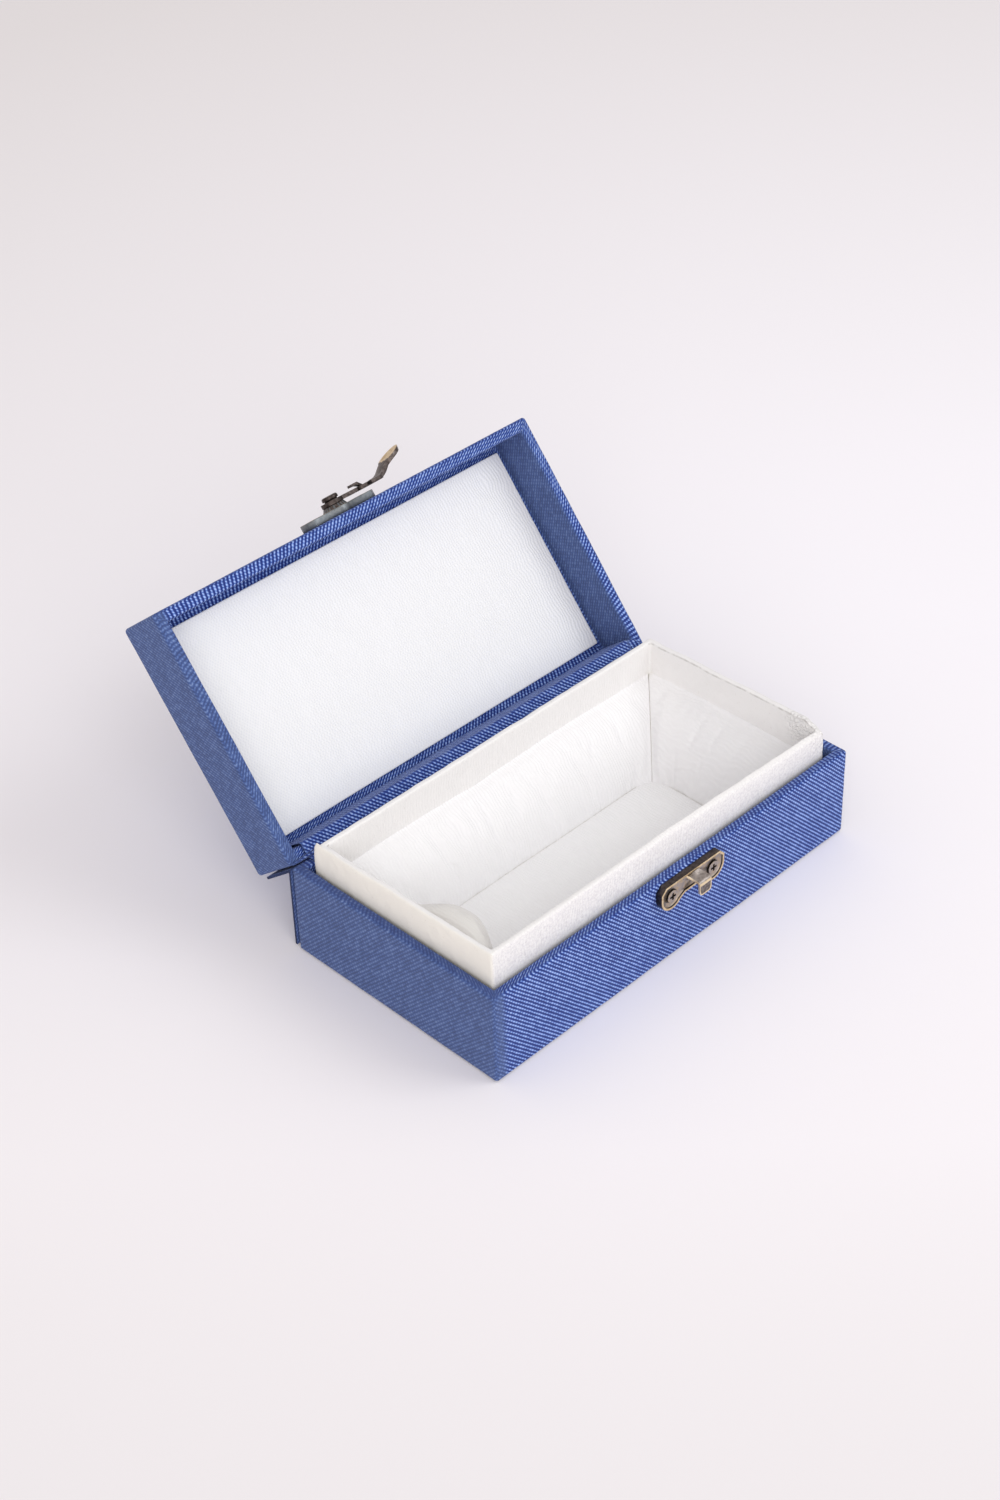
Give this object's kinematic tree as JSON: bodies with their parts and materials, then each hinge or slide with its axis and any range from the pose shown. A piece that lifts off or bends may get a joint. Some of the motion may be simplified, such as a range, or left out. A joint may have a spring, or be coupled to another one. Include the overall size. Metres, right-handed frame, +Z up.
{
  "type": "seal box with padded tray and swing latch",
  "caption": "Long cloth-covered box with a hinged lid, a padded satin tray that stands above the rim, and a brass swing latch on its front.",
  "frame": {"origin": "centre of the base's underside, on the surface that the box stands on", "axes": "+X along the box's length, to the right seen from the latch; +Y from the latch to the hinge; +Z up"},
  "size_m": [0.14, 0.1457, 0.0898],
  "materials": {
    "blue_bookcloth": "ribbed, matt",
    "white_satin": "satin weave",
    "wadding": "soft fibre",
    "box_board": "bare board",
    "grey_card": "matt",
    "bottom_paper": "matt",
    "antique_brass": "aged, worn edges"
  },
  "bodies": {
    "base": {"base_bottom_sheet": "bottom_paper", "base_bottom_board": "box_board", "base_front_board": "box_board", "base_back_board": "box_board", "base_left_board": "box_board", "base_right_board": "box_board", "base_cover_cloth": "blue_bookcloth", "tray_bottom_card": "grey_card", "tray_front_card": "grey_card", "tray_back_card": "grey_card", "tray_left_card": "grey_card", "tray_right_card": "grey_card", "tray_neck_satin": "white_satin", "tray_front_wadding": "wadding", "tray_back_wadding": "wadding", "tray_left_wadding": "wadding", "tray_right_wadding": "wadding", "tray_front_lining": "white_satin", "tray_back_lining": "white_satin", "tray_left_lining": "white_satin", "tray_right_lining": "white_satin", "tray_floor_card": "grey_card", "tray_floor_satin": "white_satin", "catch_plate": "antique_brass", "catch_plate_screws": "antique_brass", "outer_hinge_cloth": "blue_bookcloth", "inner_hinge_cloth": "blue_bookcloth"},
    "lid": {"lid_top_board": "box_board", "lid_front_board": "box_board", "lid_back_board": "box_board", "lid_left_board": "box_board", "lid_right_board": "box_board", "lid_cover_cloth": "blue_bookcloth", "lid_panel_card": "grey_card", "lid_panel_satin": "white_satin", "latch_plate": "antique_brass", "latch_plate_screws": "antique_brass", "rivet": "antique_brass", "rivet_washer": "antique_brass"},
    "lever": {"lever": "antique_brass"}
  },
  "joints": [
    {"name": "lid_hinge", "type": "hinge", "parent": "base", "child": "lid", "pos_m": [0, 0.0379, 0.0291], "axis": [-1, 0, 0], "range_deg": [-129.3, 0], "deforming": ["outer_hinge_cloth", "inner_hinge_cloth"]},
    {"name": "lever_swing", "type": "hinge", "parent": "lid", "child": "lever", "pos_m": [0.0026, 0.09621, 0.08456], "axis": [0, 0.6334, 0.7738], "range_deg": [-90, 90]}
  ]
}
